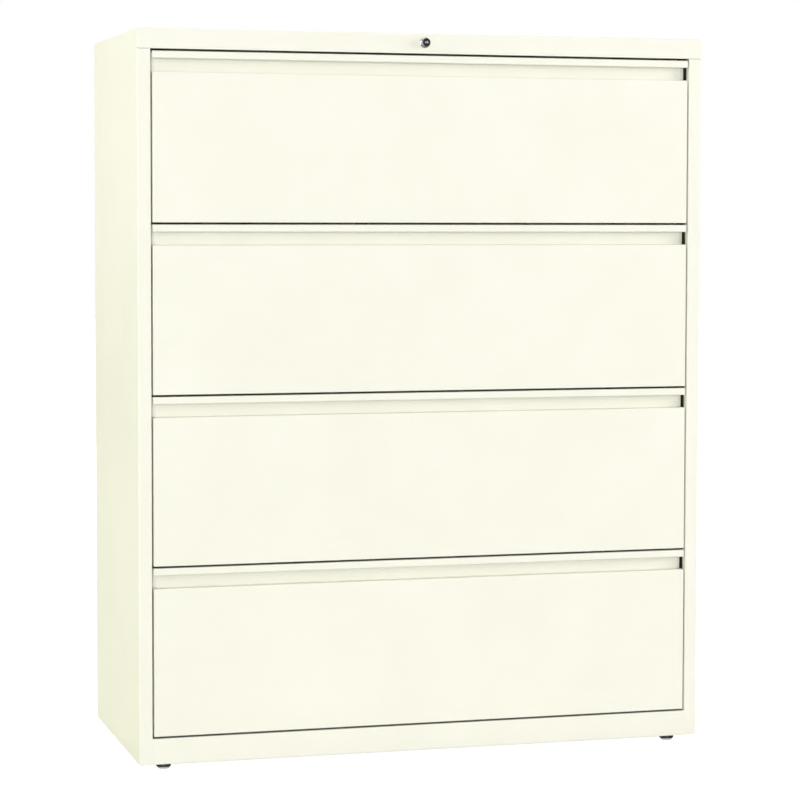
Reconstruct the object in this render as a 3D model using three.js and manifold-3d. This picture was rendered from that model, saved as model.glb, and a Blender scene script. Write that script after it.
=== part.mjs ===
// Lateral filing cabinet: a folded sheet-steel case with four full-width drawers on telescopic slides,
// one cam lock in the header that locks all drawers, and four screw-in levelling feet.
// Units are millimetres. +X is right, +Y is back and +Z is up.
// The origin is on the floor under the middle of the whole, the lock's head included.
import * as THREE from "three";
import { mergeVertices } from "three/addons/utils/BufferGeometryUtils.js";
import Module from "manifold-3d";

// Case
const CASE_WIDTH = 1067;
const CASE_DEPTH = 473;
const CASE_HEIGHT = 1312;
const FLOOR_CLEARANCE = 12;
const SHEET = 1;
const BEND = 1;
const SEAM = 0.3;
const STILE_WIDTH = 24;
const STILE_RETURN = 15;
const STILE_HEM = 18;
const REAR_FLANGE = 14;
const HEADER_HEIGHT = 36.2;
const HEADER_RETURN = 16;
const TOP_FLANGE = 15;
const TOP_FLANGE_INSET = 12;
const BASE_RAIL_HEIGHT = 46.8;
const BASE_TOP_RETURN = 20;
const BASE_BOTTOM_RETURN = 10;
const PAN_LIFT = 22;
const PAN_FLANGE = 18;
const RIB_WIDTH = 40;
const RIB_DEPTH = 4;
const RIB_SPACING = 532;
const RIB_END = 60;

// Uprights
const UPRIGHT_SHEET = 1.5;
const UPRIGHT_WIDTH = 40;
const UPRIGHT_FRONT_SETBACK = 6;
const UPRIGHT_REAR_SETBACK = 34;
const UPRIGHT_STEP = 0.8;

// Levelling feet
const FOOT_INSET_X = 48.5;
const FOOT_INSET_Y = 28;
const FOOT_RADIUS = 13.5;
const FOOT_BASE_RADIUS = 10;
const FOOT_HEIGHT = 8.5;
const FOOT_TAPER = 4.7;
const STUD_RADIUS = 5;
const STUD_ABOVE_PAN = 22;
const NUT_RADIUS = 9.5;
const NUT_HEIGHT = 10;

// Drawer fronts
const DRAWER_COUNT = 4;
const FRONT_GAP = 3.4;
const SIDE_GAP = 3;
const LIP_HEIGHT = 13.3;
const LIP_HEM = 6;
const PULL_OPENING = 23.6;
const PULL_DEPTH = 17;
const PULL_END_FLANGE = 8;
const FRONT_SIDE_RETURN = 15;
const FRONT_BOTTOM_RETURN = 32;

// Drawer trays and hang bars
const TRAY_HEADROOM = 45;
const TRAY_SIDE_DROP = 12;
const TRAY_SIDE_FLANGE = 9;
const HANG_LEDGE = 12;
const HANG_LIP = 8;
const HANG_BAR_THICKNESS = 3;
const HANG_BAR_HEIGHT = 16;
const HANG_BAR_OVER_LIP = 7;
const HANG_BAR_EAR = 5;
const HANG_BAR_SPACING = 330;

// Slides
const SLIDE_THICKNESS = 12.7;
const SLIDE_HEIGHT = 45.7;
const SLIDE_SHEET = 1.2;
const SLIDE_PLAY = 0.35;
const SLIDE_LEVEL = 96;
const SLIDE_FRONT_SETBACK = 4;
const SLIDE_REAR_SETBACK = 6;
const SLIDE_MIDDLE_SHORTER = 20;
const SLIDE_EDGE_STEP = 1.5;

// Lock
const LOCK_X = -6;
const LOCK_DROP = 16.4;
const LOCK_COLLAR_RADIUS = 9.9;
const LOCK_COLLAR_LENGTH = 3;
const LOCK_BARREL_RADIUS = 7.4;
const LOCK_BARREL_PROUD = 13;
const LOCK_BODY_RADIUS = 8;
const LOCK_BODY_LENGTH = 24;
const LOCK_NUT_RADIUS = 12.5;
const LOCK_NUT_THICKNESS = 4;
const PLUG_RADIUS = 5;
const PLUG_PROUD = 0.4;
const KEYWAY_WIDTH = 2;
const KEYWAY_HEIGHT = 7;
const KEYWAY_DEPTH = 6;
const TAIL_RADIUS = 3;
const TAIL_LENGTH = 12;
const ROD_RADIUS = 3;
const ROD_SLEEVE_WALL = 2;
const ROD_SLEEVE_LENGTH = 16;
const CRANK_RADIUS = 8;
const CRANK_REST_ANGLE = -45;
const CRANK_WIDTH = 9;
const CRANK_THICKNESS = 3;
const CRANK_PIN_RADIUS = 2;
const BRACKET_WIDTH = 30;
const BRACKET_FOOT = 16;
const BRACKET_DROP = 27;
const BRACKET_SETBACK = 40;
const BAR_WIDTH = 24;
const BAR_THICKNESS = 2.5;
const BAR_SLOT_PLAY = 0.6;
const BAR_SLOT_LENGTH = 12;
const BAR_OVER_SLOT = 8;
const BAR_TAIL = 60;
const BAR_NOTCH_PLAY = 1.5;
const HOOK_WIDTH = 18;
const HOOK_SHEET = 1.5;
const HOOK_LIP = 9.5;
const CATCH_WIDTH = 24;
const CATCH_LIP = 9;
const CATCH_LEVEL = 200;
const CATCH_REACH = 9.7;
const CATCH_PLAY = 1.3;
const LOCK_REACH = 14;
const GUIDE_WALL = 2;
const GUIDE_HEIGHT = 15;
const GUIDE_ABOVE_CATCH = 70;

// How finely round forms are cut, how close points are joined, and how much of a side a bend may use
const BEND_STEPS = 3;
const ROUND_STEPS = 20;
const WELD = 1e-4;
const BEND_SHARE = 0.49;

// Planes that the pieces share
const half = CASE_WIDTH / 2;
const lockProud = LOCK_BARREL_PROUD + PLUG_PROUD;
const front = (lockProud - CASE_DEPTH) / 2;
const rear = front + CASE_DEPTH;
const bottom = FLOOR_CLEARANCE;
const top = bottom + CASE_HEIGHT;
const skinInner = half - SHEET;
const stileInner = half - STILE_WIDTH;
const openingTop = top - HEADER_HEIGHT;
const openingBottom = bottom + BASE_RAIL_HEIGHT;
const backOuter = rear - SHEET - SEAM;
const backInner = backOuter - SHEET;
const panTop = bottom + PAN_LIFT;
const uprightFace = stileInner - UPRIGHT_STEP;
const uprightTop = top - TOP_FLANGE - SEAM;

// Drawer heights are measured from the bottom edge of each drawer front.
const frontHeight = (openingTop - openingBottom - FRONT_GAP) / DRAWER_COUNT - FRONT_GAP;
const drawerPitch = frontHeight + FRONT_GAP;
const frontHalf = stileInner - SIDE_GAP;
const faceTop = frontHeight - LIP_HEIGHT - PULL_OPENING;
const pullRear = front + PULL_DEPTH;
const slideOuter = uprightFace - SEAM;
const slideInner = slideOuter - SLIDE_THICKNESS;
const trayHalf = slideInner - SEAM;
const trayFront = pullRear + SHEET + SEAM;
const barRear = backInner - SEAM;
const barFront = barRear - BAR_THICKNESS;
const trayBack = barFront - LOCK_REACH;
const trayBottom = SHEET + SEAM;
const trayTop = frontHeight - TRAY_HEADROOM;
const slideFront = pullRear + SLIDE_FRONT_SETBACK;
const slideRear = trayBack - SLIDE_REAR_SETBACK;

// Lock places
const lockZ = top - LOCK_DROP;
const rodStart = front + SHEET + LOCK_BODY_LENGTH + TAIL_LENGTH + SEAM;
const crankFront = barFront - BAR_SLOT_PLAY - CRANK_THICKNESS;
const pinX = LOCK_X + CRANK_RADIUS * Math.cos(THREE.MathUtils.degToRad(CRANK_REST_ANGLE));
const pinZ = lockZ + CRANK_RADIUS * Math.sin(THREE.MathUtils.degToRad(CRANK_REST_ANGLE));
const barX = (pinX + LOCK_X + CRANK_RADIUS) / 2;
const barTop = pinZ + BAR_OVER_SLOT;
const barLift = 2 * (lockZ - pinZ);

const wasm = await Module();
wasm.setup();

// Finishes
const cream = { color: 0xf3f2e4, roughness: 0.45, metalness: 0 };
const zinc = { color: 0xb9bcc0, roughness: 0.35, metalness: 1 };
const darkSteel = { color: 0x4a4d52, roughness: 0.45, metalness: 0.8 };
const chrome = { color: 0xd5d6d8, roughness: 0.12, metalness: 1 };

// Solid from a closed three.js geometry
function solid(geometry) {
  const bare = new THREE.BufferGeometry();
  bare.setAttribute("position", geometry.getAttribute("position"));
  bare.setIndex(geometry.getIndex());
  const merged = mergeVertices(bare, WELD);
  const index = merged.getIndex().array;
  const triangles = [];
  for (let i = 0; i < index.length; i += 3) {
    const [a, b, c] = [index[i], index[i + 1], index[i + 2]];
    if (a !== b && b !== c && c !== a) triangles.push(a, b, c);
  }
  const vertProperties = Float32Array.from(merged.getAttribute("position").array);
  const triVerts = Uint32Array.from(triangles);
  return new wasm.Manifold(new wasm.Mesh({ numProp: 3, vertProperties, triVerts }));
}

function geometryOf(body) {
  const mesh = body.getMesh();
  const geometry = new THREE.BufferGeometry();
  geometry.setAttribute("position", new THREE.BufferAttribute(Float32Array.from(mesh.vertProperties), 3));
  geometry.setIndex(new THREE.BufferAttribute(Uint32Array.from(mesh.triVerts), 1));
  geometry.computeVertexNormals();
  return geometry;
}

function piece(name, body, finish) {
  const mesh = new THREE.Mesh(geometryOf(body), new THREE.MeshStandardMaterial(finish));
  mesh.name = name;
  return mesh;
}

function block(x0, x1, y0, y1, z0, z1) {
  const geometry = new THREE.BoxGeometry(x1 - x0, y1 - y0, z1 - z0);
  geometry.translate((x0 + x1) / 2, (y0 + y1) / 2, (z0 + z1) / 2);
  return solid(geometry);
}

// A section drawn in Y-Z is swept along X, one in X-Z along Y, and one in X-Y along Z.
const X_AXIS = new THREE.Vector3(1, 0, 0);
const Y_AXIS = new THREE.Vector3(0, 1, 0);
const Z_AXIS = new THREE.Vector3(0, 0, 1);
const SWEEP = {
  x: new THREE.Matrix4().makeBasis(Y_AXIS, Z_AXIS, X_AXIS),
  y: new THREE.Matrix4().makeBasis(X_AXIS, Z_AXIS, Y_AXIS.clone().negate()),
  z: new THREE.Matrix4(),
};

function swept(axis, shape, from, to) {
  const geometry = new THREE.ExtrudeGeometry(shape, { depth: to - from, bevelEnabled: false });
  geometry.translate(0, 0, axis === "y" ? -to : from);
  return solid(geometry.applyMatrix4(SWEEP[axis]));
}

// Section of a bent sheet: the corners lie on the middle of the sheet, and each corner is an arc.
function bentSheet(corners, thickness = SHEET, insideRadius = BEND) {
  const points = corners.map(([u, v]) => new THREE.Vector2(u, v));
  const stations = [];
  const origin = new THREE.Vector2();
  const leftOf = (direction) => new THREE.Vector2(-direction.y, direction.x);
  const heading = (i) => points[i + 1].clone().sub(points[i]).normalize();
  const last = points.length - 1;
  stations.push({ point: points[0], normal: leftOf(heading(0)) });
  for (let i = 1; i < last; i += 1) {
    const before = heading(i - 1);
    const turn = Math.atan2(before.cross(heading(i)), before.dot(heading(i)));
    const lengths = [points[i].distanceTo(points[i - 1]), points[i + 1].distanceTo(points[i])];
    const room = BEND_SHARE * Math.min(...lengths);
    const tangent = Math.min((insideRadius + thickness / 2) * Math.tan(Math.abs(turn) / 2), room);
    const radius = (tangent / Math.tan(Math.abs(turn) / 2)) * Math.sign(turn);
    const start = points[i].clone().addScaledVector(before, -tangent);
    const centre = start.addScaledVector(leftOf(before), radius);
    for (let k = 0; k <= BEND_STEPS; k += 1) {
      const normal = leftOf(before).rotateAround(origin, (turn * k) / BEND_STEPS);
      stations.push({ point: centre.clone().addScaledVector(normal, -radius), normal });
    }
  }
  stations.push({ point: points[last], normal: leftOf(heading(last - 1)) });
  const side = (offset) => stations.map((s) => s.point.clone().addScaledVector(s.normal, offset));
  return new THREE.Shape([...side(thickness / 2), ...side(-thickness / 2).reverse()]);
}

function polygon(corners) {
  return new THREE.Shape(corners.map(([u, v]) => new THREE.Vector2(u, v)));
}

// Round bar along Y or Z
function roundY(radius, x, z, y0, y1, steps = ROUND_STEPS) {
  const geometry = new THREE.CylinderGeometry(radius, radius, y1 - y0, steps);
  geometry.translate(x, (y0 + y1) / 2, z);
  return solid(geometry);
}

function roundZ(radius, x, y, z0, z1, steps = ROUND_STEPS) {
  const geometry = new THREE.CylinderGeometry(radius, radius, z1 - z0, steps);
  geometry.rotateX(Math.PI / 2);
  geometry.translate(x, y, (z0 + z1) / 2);
  return solid(geometry);
}

// Turned form: the profile is a list of radius and distance along the axis
function turned(profile, steps = ROUND_STEPS) {
  const outline = profile.map(([radius, along]) => new THREE.Vector2(radius, along));
  return new THREE.LatheGeometry(outline, steps);
}

// Side panel, right hand: rear flange, skin and box-section front stile folded from one sheet
function sidePanel() {
  const s = SHEET / 2;
  const skinCorners = [
    [half - REAR_FLANGE, rear - s],
    [half - s, rear - s],
  ];
  const stileCorners = [
    [half - s, front + s],
    [stileInner + s, front + s],
    [stileInner + s, front + STILE_RETURN - s],
    [stileInner + STILE_HEM, front + STILE_RETURN - s],
  ];
  const stileTop = openingTop - SEAM;
  const lower = swept("z", bentSheet([...skinCorners, ...stileCorners]), bottom, stileTop);
  const upperEnd = [half - s, front + SHEET + SEAM];
  const upper = swept("z", bentSheet([...skinCorners, upperEnd]), stileTop, top);
  return lower.add(upper);
}

// Top panel: flat top with a full-width header folded down in front, notched behind for the lock bar
function topPanel() {
  const s = SHEET / 2;
  const rearY = backInner - SEAM - s;
  const section = bentSheet([
    [rearY, top - TOP_FLANGE],
    [rearY, top - s],
    [front + s, top - s],
    [front + s, openingTop + s],
    [front + HEADER_RETURN, openingTop + s],
  ]);
  let body = swept("x", section, -half, half);
  const flangeOuter = skinInner - SEAM;
  const flangeFront = front + HEADER_RETURN + TOP_FLANGE_INSET;
  const flangeRear = rearY - TOP_FLANGE_INSET;
  for (const sign of [-1, 1]) {
    const [a, b] = [sign * flangeOuter, sign * (half + SHEET)].sort((p, q) => p - q);
    body = body.subtract(block(a, b, front + SHEET, rear, bottom, top + SHEET));
    const [c, d] = [sign * flangeOuter, sign * (flangeOuter - SHEET)].sort((p, q) => p - q);
    body = body.add(block(c, d, flangeFront, flangeRear, top - TOP_FLANGE, top - s));
  }
  const hole = roundY(LOCK_BODY_RADIUS + SEAM, LOCK_X, lockZ, front - SHEET, front + 2 * SHEET);
  const notchHalf = BAR_WIDTH / 2 + BAR_NOTCH_PLAY;
  const [n0, n1] = [barX - notchHalf, barX + notchHalf];
  const notch = block(n0, n1, barFront, rear, top - TOP_FLANGE - SHEET, top - SHEET - BEND);
  return body.subtract(hole).subtract(notch);
}

// Back panel: flat sheet with two pressed vertical ribs and loops that guide the lock bar
function backPanel() {
  const edge = skinInner - BEND - SEAM;
  let body = block(-edge, edge, backInner, backOuter, bottom, top);
  const ribFront = backInner - RIB_DEPTH;
  const [z0, z1] = [panTop + RIB_END, top - TOP_FLANGE - RIB_END];
  for (const centre of [-RIB_SPACING / 2, RIB_SPACING / 2]) {
    const [x0, x1] = [centre - RIB_WIDTH / 2, centre + RIB_WIDTH / 2];
    body = body.add(block(x0, x1, ribFront, backOuter, z0, z1));
    const [y0, y1] = [ribFront + SHEET, backOuter + SHEET];
    body = body.subtract(block(x0 + SHEET, x1 - SHEET, y0, y1, z0 + SHEET, z1 - SHEET));
  }
  for (const z of guideLevels()) body = body.add(guideLoop(z));
  return body;
}

function guideLevels() {
  const levels = [];
  for (let i = 0; i < DRAWER_COUNT; i += 2) levels.push(drawerBase(i) + CATCH_LEVEL + GUIDE_ABOVE_CATCH);
  levels.push(drawerBase(DRAWER_COUNT - 1) + CATCH_LEVEL - BAR_TAIL + GUIDE_HEIGHT);
  return levels;
}

function guideLoop(z) {
  const inner = BAR_WIDTH / 2 + SEAM;
  const outer = inner + GUIDE_WALL;
  const loopFront = barFront - SEAM;
  const [z0, z1] = [z - GUIDE_HEIGHT / 2, z + GUIDE_HEIGHT / 2];
  const loop = block(barX - outer, barX + outer, loopFront - GUIDE_WALL, backInner + SHEET / 2, z0, z1);
  return loop.subtract(block(barX - inner, barX + inner, loopFront, backInner, z0 - SHEET, z1 + SHEET));
}

// Base rail: front face with returns at the top and bottom, welded between the stiles
function baseRail() {
  const s = SHEET / 2;
  const section = bentSheet([
    [front + BASE_TOP_RETURN, openingBottom - s],
    [front + s, openingBottom - s],
    [front + s, bottom + s],
    [front + BASE_BOTTOM_RETURN, bottom + s],
  ]);
  return swept("x", section, -stileInner + SEAM, stileInner - SEAM);
}

// Places of the four feet
const footX = half - FOOT_INSET_X;
const FEET = {
  front_left: [-footX, front + FOOT_INSET_Y],
  front_right: [footX, front + FOOT_INSET_Y],
  rear_left: [-footX, rear - FOOT_INSET_Y],
  rear_right: [footX, rear - FOOT_INSET_Y],
};

// Bottom pan: flat sheet with flanges turned down all round and a welded nut over each foot
function bottomPan() {
  const s = SHEET / 2;
  const edge = skinInner - SEAM;
  const [y0, y1] = [front + STILE_RETURN + SEAM, backInner - SEAM];
  const low = panTop - PAN_FLANGE;
  const section = bentSheet([
    [y0 + s, low],
    [y0 + s, panTop - s],
    [y1 - s, panTop - s],
    [y1 - s, low],
  ]);
  let body = swept("x", section, -edge, edge);
  body = body.add(block(-edge, -edge + SHEET, y0 + PAN_FLANGE, y1 - PAN_FLANGE, low, panTop - s));
  body = body.add(block(edge - SHEET, edge, y0 + PAN_FLANGE, y1 - PAN_FLANGE, low, panTop - s));
  for (const [x, y] of Object.values(FEET)) {
    body = body.add(roundZ(NUT_RADIUS, x, y, panTop - SHEET - NUT_HEIGHT, panTop - s, 6));
    body = body.subtract(roundZ(STUD_RADIUS + SEAM, x, y, low - SHEET, panTop + SHEET));
  }
  return body;
}

// Levelling foot: tapered glide on a threaded stud
function levellingFoot() {
  const studTop = panTop + STUD_ABOVE_PAN;
  const geometry = turned([
    [0, 0],
    [FOOT_BASE_RADIUS, 0],
    [FOOT_RADIUS, FOOT_TAPER],
    [FOOT_RADIUS, FOOT_HEIGHT - SHEET],
    [FOOT_RADIUS - SHEET, FOOT_HEIGHT],
    [STUD_RADIUS, FOOT_HEIGHT],
    [STUD_RADIUS, studTop - SHEET],
    [STUD_RADIUS - SHEET, studTop],
    [0, studTop],
  ]);
  geometry.rotateX(Math.PI / 2);
  return solid(geometry);
}

// Upright, right hand: channel welded to the side, with its face inwards to carry the slides
function upright(y0) {
  const t = UPRIGHT_SHEET / 2;
  const y1 = y0 + UPRIGHT_WIDTH;
  const section = bentSheet(
    [
      [skinInner - SEAM, y0 + t],
      [uprightFace + t, y0 + t],
      [uprightFace + t, y1 - t],
      [skinInner - SEAM, y1 - t],
    ],
    UPRIGHT_SHEET,
  );
  return swept("z", section, panTop + SEAM, uprightTop);
}

// Drawer front: one folded sheet with the lip, the recess of the pull, the face and the bottom return
function drawerFront() {
  const s = SHEET / 2;
  const section = bentSheet([
    [front + FRONT_BOTTOM_RETURN, s],
    [front + s, s],
    [front + s, faceTop - s],
    [pullRear + s, faceTop - s],
    [pullRear + s, frontHeight - s],
    [front + s, frontHeight - s],
    [front + s, frontHeight - LIP_HEIGHT + s],
    [front + LIP_HEM, frontHeight - LIP_HEIGHT + s],
  ]);
  let body = swept("x", section, -frontHalf, frontHalf);
  for (const sign of [-1, 1]) {
    const [a, b] = [sign * frontHalf, sign * (frontHalf - SHEET)].sort((p, q) => p - q);
    body = body.add(block(a, b, front + s, front + FRONT_SIDE_RETURN, s, faceTop - s));
    body = body.add(block(a, b, pullRear + s, pullRear + PULL_END_FLANGE, faceTop, frontHeight - s));
  }
  return body;
}

// Drawer tray: bottom, front and back in one folded sheet with hang rails, two sides and the lock catch
function drawerTray() {
  const s = SHEET / 2;
  const wrapper = bentSheet([
    [trayFront + HANG_LEDGE - s, trayTop + HANG_LIP],
    [trayFront + HANG_LEDGE - s, trayTop - s],
    [trayFront + s, trayTop - s],
    [trayFront + s, trayBottom + s],
    [trayBack - s, trayBottom + s],
    [trayBack - s, trayTop - s],
    [trayBack - HANG_LEDGE + s, trayTop - s],
    [trayBack - HANG_LEDGE + s, trayTop + HANG_LIP],
  ]);
  let body = swept("x", wrapper, -trayHalf + s, trayHalf - s);
  const sideTop = trayTop - TRAY_SIDE_DROP;
  const sideFoot = TRAY_SIDE_FLANGE + SHEET;
  for (const sign of [-1, 1]) {
    const sideSheet = bentSheet([
      [sign * (trayHalf - TRAY_SIDE_FLANGE), sideTop - s],
      [sign * (trayHalf - s), sideTop - s],
      [sign * (trayHalf - s), trayBottom + s],
      [sign * (trayHalf - sideFoot), trayBottom + s],
    ]);
    body = body.add(swept("y", sideSheet, trayFront + s, trayBack - s));
  }
  return body.add(lockCatch());
}

function lockCatch() {
  const [x0, x1] = [barX - CATCH_WIDTH / 2, barX + CATCH_WIDTH / 2];
  const end = trayBack + CATCH_REACH;
  const shelf = block(x0, x1, trayBack - SHEET / 2, end, CATCH_LEVEL, CATCH_LEVEL + HOOK_SHEET);
  return shelf.add(block(x0, x1, end - HOOK_SHEET, end, CATCH_LEVEL - CATCH_LIP, CATCH_LEVEL + SHEET));
}

// Hang bar: flat bar on edge, notched at both ends to sit over the lips of the hang rails
function hangBar() {
  const railTop = trayTop + HANG_LIP;
  const barHigh = railTop + HANG_BAR_OVER_LIP;
  const barLow = barHigh - HANG_BAR_HEIGHT;
  const earLow = trayTop + SEAM;
  const notchTop = railTop + SEAM;
  const railInner = trayFront + HANG_LEDGE + SEAM;
  const railOuter = trayFront + HANG_LEDGE - SHEET - SEAM;
  const frontEnd = railOuter - HANG_BAR_EAR;
  const middle = (trayFront + trayBack) / 2;
  const frontHalfOutline = [
    [railInner, barLow],
    [railInner, notchTop],
    [railOuter, notchTop],
    [railOuter, earLow],
    [frontEnd, earLow],
    [frontEnd, barHigh],
  ];
  const mirrored = frontHalfOutline.map(([y, z]) => [2 * middle - y, z]).reverse();
  const outline = polygon([...frontHalfOutline, ...mirrored]);
  return swept("x", outline, -HANG_BAR_THICKNESS / 2, HANG_BAR_THICKNESS / 2);
}

// Slide members, right hand: three channels nested with a small play, the outer one on the uprights
function slideChannel(webX, edgeX, halfHeight, y0, y1) {
  const t = SLIDE_SHEET / 2;
  const web = webX - Math.sign(webX - edgeX) * t;
  const section = bentSheet(
    [
      [edgeX, halfHeight - t],
      [web, halfHeight - t],
      [web, -halfHeight + t],
      [edgeX, -halfHeight + t],
    ],
    SLIDE_SHEET,
  );
  return swept("y", section, y0, y1);
}

function slideMembers() {
  const step = SLIDE_SHEET + SLIDE_PLAY;
  const high = SLIDE_HEIGHT / 2;
  const edge = slideInner + SLIDE_EDGE_STEP;
  return {
    outer: slideChannel(slideOuter, edge, high, slideFront, slideRear),
    middle: slideChannel(slideOuter - step, edge, high - step, slideFront, slideRear - SLIDE_MIDDLE_SHORTER),
    inner: slideChannel(slideInner, slideOuter - 2 * step, high - 2 * step, slideFront, slideRear),
  };
}

// Lock housing: collar and raised barrel in front of the header and a body through it, bored for the plug
function lockHousing() {
  const bore = PLUG_RADIUS + SEAM;
  const end = LOCK_BODY_LENGTH + SHEET;
  const geometry = turned([
    [bore, -LOCK_BARREL_PROUD],
    [LOCK_BARREL_RADIUS - SHEET, -LOCK_BARREL_PROUD],
    [LOCK_BARREL_RADIUS, -LOCK_BARREL_PROUD + SHEET],
    [LOCK_BARREL_RADIUS, -LOCK_COLLAR_LENGTH],
    [LOCK_COLLAR_RADIUS - SHEET, -LOCK_COLLAR_LENGTH],
    [LOCK_COLLAR_RADIUS, -LOCK_COLLAR_LENGTH + SHEET],
    [LOCK_COLLAR_RADIUS, -SEAM],
    [LOCK_BODY_RADIUS, -SEAM],
    [LOCK_BODY_RADIUS, end],
    [bore, end],
    [bore, -LOCK_BARREL_PROUD],
  ]);
  return solid(geometry.translate(LOCK_X, front, lockZ));
}

// Lock nut: six-sided nut that clamps the housing behind the header
function lockNut() {
  const y0 = front + SHEET + SEAM;
  const y1 = y0 + LOCK_NUT_THICKNESS;
  const ring = roundY(LOCK_NUT_RADIUS, LOCK_X, lockZ, y0, y1, 6);
  return ring.subtract(roundY(LOCK_BODY_RADIUS + SEAM, LOCK_X, lockZ, y0 - SHEET, y1 + SHEET));
}

// Lock plug: turns in the housing, with a keyway in front and a tail that drives the rod
function lockPlug() {
  const y0 = front - lockProud;
  const bodyEnd = front + SHEET + LOCK_BODY_LENGTH;
  const plug = roundY(PLUG_RADIUS, LOCK_X, lockZ, y0, bodyEnd);
  const tail = roundY(TAIL_RADIUS, LOCK_X, lockZ, bodyEnd - SHEET, bodyEnd + TAIL_LENGTH);
  const [halfWidth, halfHeight] = [KEYWAY_WIDTH / 2, KEYWAY_HEIGHT / 2];
  const [z0, z1] = [lockZ - halfHeight, lockZ + halfHeight];
  const keyway = block(LOCK_X - halfWidth, LOCK_X + halfWidth, y0 - SHEET, y0 + KEYWAY_DEPTH, z0, z1);
  return plug.add(tail).subtract(keyway);
}

// Lock rod: torsion rod with a sleeve over the plug's tail and a crank with a pin at the rear
function lockRod() {
  const bore = TAIL_RADIUS + SEAM;
  const sleeve = bore + ROD_SLEEVE_WALL;
  const sleeveStart = rodStart - SEAM - TAIL_LENGTH + SHEET;
  const sleeveEnd = sleeveStart + ROD_SLEEVE_LENGTH;
  const shaft = turned([
    [0, rodStart],
    [bore, rodStart],
    [bore, sleeveStart],
    [sleeve, sleeveStart],
    [sleeve, sleeveEnd],
    [ROD_RADIUS, sleeveEnd],
    [ROD_RADIUS, crankFront + CRANK_THICKNESS],
    [0, crankFront + CRANK_THICKNESS],
  ]);
  const link = new THREE.BoxGeometry(CRANK_RADIUS + CRANK_WIDTH, CRANK_THICKNESS, CRANK_WIDTH);
  link.translate(CRANK_RADIUS / 2, 0, 0);
  link.rotateY(THREE.MathUtils.degToRad(-CRANK_REST_ANGLE));
  link.translate(LOCK_X, crankFront + CRANK_THICKNESS / 2, lockZ);
  const pin = roundY(CRANK_PIN_RADIUS, pinX, pinZ, crankFront + CRANK_THICKNESS / 2, barRear - SEAM, 12);
  return solid(shaft.translate(LOCK_X, 0, lockZ)).add(solid(link)).add(pin);
}

// Rod bracket: angle welded under the top that carries the rear end of the rod
function rodBracket() {
  const t = UPRIGHT_SHEET / 2;
  const y = barFront - BRACKET_SETBACK;
  const high = top - SHEET - SEAM - t;
  const section = bentSheet(
    [
      [y - BRACKET_FOOT, high],
      [y, high],
      [y, high - BRACKET_DROP],
    ],
    UPRIGHT_SHEET,
  );
  const body = swept("x", section, LOCK_X - BRACKET_WIDTH / 2, LOCK_X + BRACKET_WIDTH / 2);
  return body.subtract(roundY(ROD_RADIUS + SEAM, LOCK_X, lockZ, y - BRACKET_FOOT / 2, y + BRACKET_FOOT));
}

// Lock bar: flat bar up the back with a slot for the crank pin and a hook for each tray
function lockBar() {
  const low = drawerBase(DRAWER_COUNT - 1) + CATCH_LEVEL - BAR_TAIL;
  let body = block(barX - BAR_WIDTH / 2, barX + BAR_WIDTH / 2, barFront, barRear, low, barTop);
  const slotHalf = CRANK_PIN_RADIUS + BAR_SLOT_PLAY;
  const [s0, s1] = [barX - BAR_SLOT_LENGTH / 2, barX + BAR_SLOT_LENGTH / 2];
  body = body.subtract(block(s0, s1, barFront - SHEET, barRear + SHEET, pinZ - slotHalf, pinZ + slotHalf));
  for (let i = 0; i < DRAWER_COUNT; i += 1) body = body.add(lockHook(drawerBase(i)));
  return body;
}

function lockHook(base) {
  const [x0, x1] = [barX - HOOK_WIDTH / 2, barX + HOOK_WIDTH / 2];
  const lipRear = trayBack + CATCH_REACH - HOOK_SHEET - CATCH_PLAY;
  const lipFront = lipRear - HOOK_SHEET;
  const lipTop = base + CATCH_LEVEL - SHEET - barLift;
  const shelfLow = lipTop - HOOK_LIP - HOOK_SHEET;
  const shelf = block(x0, x1, lipFront, barFront + SHEET, shelfLow, shelfLow + HOOK_SHEET);
  return shelf.add(block(x0, x1, lipFront, lipRear, shelfLow, lipTop));
}

// Bottom edge of a drawer front, counted from the top drawer
function drawerBase(i) {
  return openingTop - (i + 1) * drawerPitch;
}

// Assembly
const cabinet = new THREE.Group();
const HANDS = { left: -1, right: 1 };

function handed(hand) {
  const group = new THREE.Group();
  group.scale.x = HANDS[hand];
  return group;
}

function addCase() {
  cabinet.add(piece("top_panel", topPanel(), cream));
  cabinet.add(piece("back_panel", backPanel(), cream));
  cabinet.add(piece("base_rail", baseRail(), cream));
  cabinet.add(piece("bottom_pan", bottomPan(), cream));
  const uprightFronts = {
    front: front + STILE_RETURN + UPRIGHT_FRONT_SETBACK,
    rear: backInner - UPRIGHT_REAR_SETBACK - UPRIGHT_WIDTH,
  };
  for (const hand of Object.keys(HANDS)) {
    const group = handed(hand);
    group.add(piece(`${hand}_side_panel`, sidePanel(), cream));
    for (const [end, y] of Object.entries(uprightFronts)) {
      group.add(piece(`${hand}_${end}_upright`, upright(y), cream));
    }
    cabinet.add(group);
  }
}

function addFeet() {
  for (const [corner, [x, y]] of Object.entries(FEET)) {
    const foot = piece(`${corner}_foot`, levellingFoot(), darkSteel);
    foot.position.set(x, y, 0);
    cabinet.add(foot);
  }
}

function addLock() {
  cabinet.add(piece("lock_housing", lockHousing(), chrome));
  cabinet.add(piece("lock_nut", lockNut(), zinc));
  cabinet.add(piece("lock_plug", lockPlug(), chrome));
  cabinet.add(piece("lock_rod", lockRod(), zinc));
  cabinet.add(piece("lock_rod_bracket", rodBracket(), zinc));
  cabinet.add(piece("lock_bar", lockBar(), zinc));
}

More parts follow.
